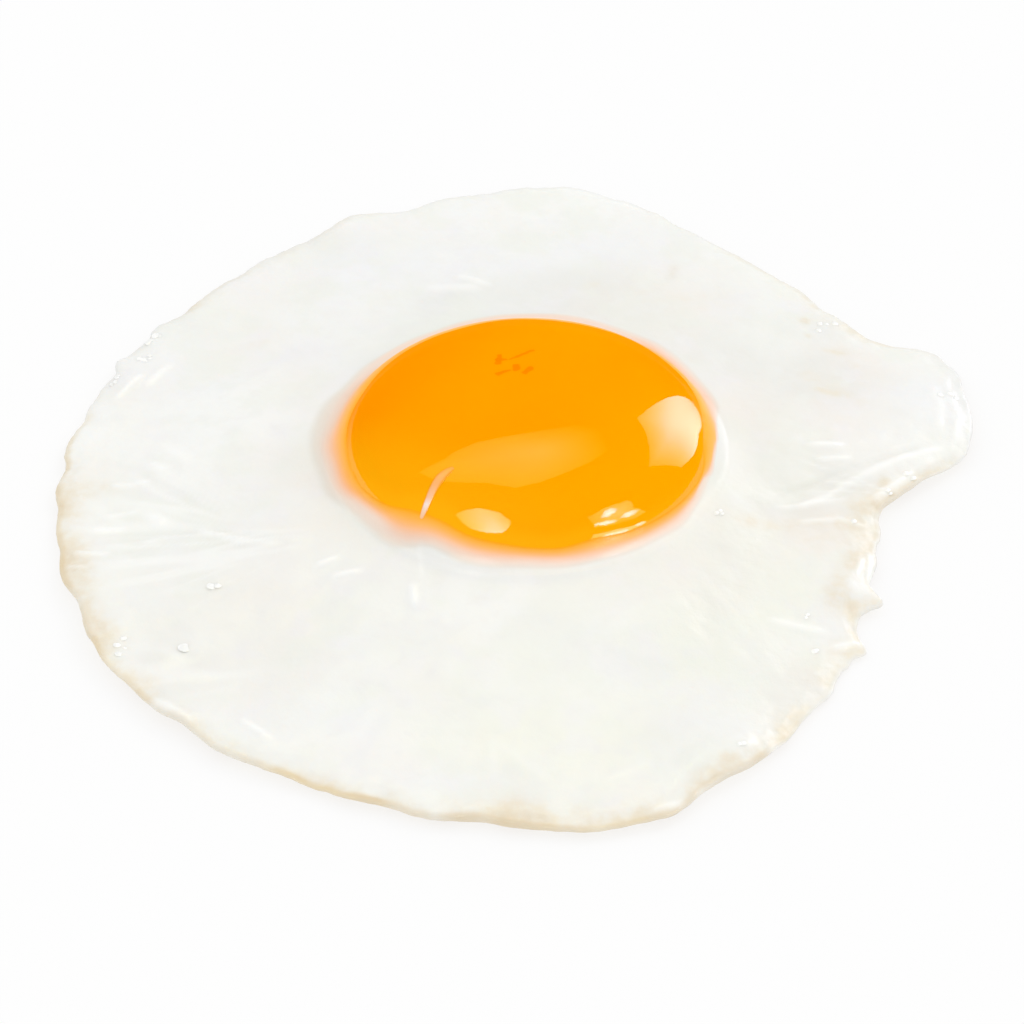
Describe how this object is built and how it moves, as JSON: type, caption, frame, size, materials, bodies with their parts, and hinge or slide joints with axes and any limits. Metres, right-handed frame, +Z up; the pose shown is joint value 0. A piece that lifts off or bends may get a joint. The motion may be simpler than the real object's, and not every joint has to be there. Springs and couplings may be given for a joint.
{
  "type": "fried egg",
  "caption": "Sunny-side-up fried egg: a domed yolk seated in a thin, ragged-edged white with a tongue on one side. Rests flat on a plate, in a pan or on toast.",
  "frame": {"origin": "on the flat underside, straight below the middle of the yolk", "axes": "+Z up through the yolk, +X towards the white's tongue, +Y towards the far side as the picture shows it"},
  "size_m": [0.1046, 0.116, 0.0146],
  "materials": {
    "egg_white": "wet satin, slightly translucent, tan at the rim and browned underneath",
    "egg_yolk": "smooth, wet and glossy, slightly translucent"
  },
  "bodies": {
    "root": {"egg_white": "egg_white", "egg_yolk": "egg_yolk"}
  },
  "joints": []
}
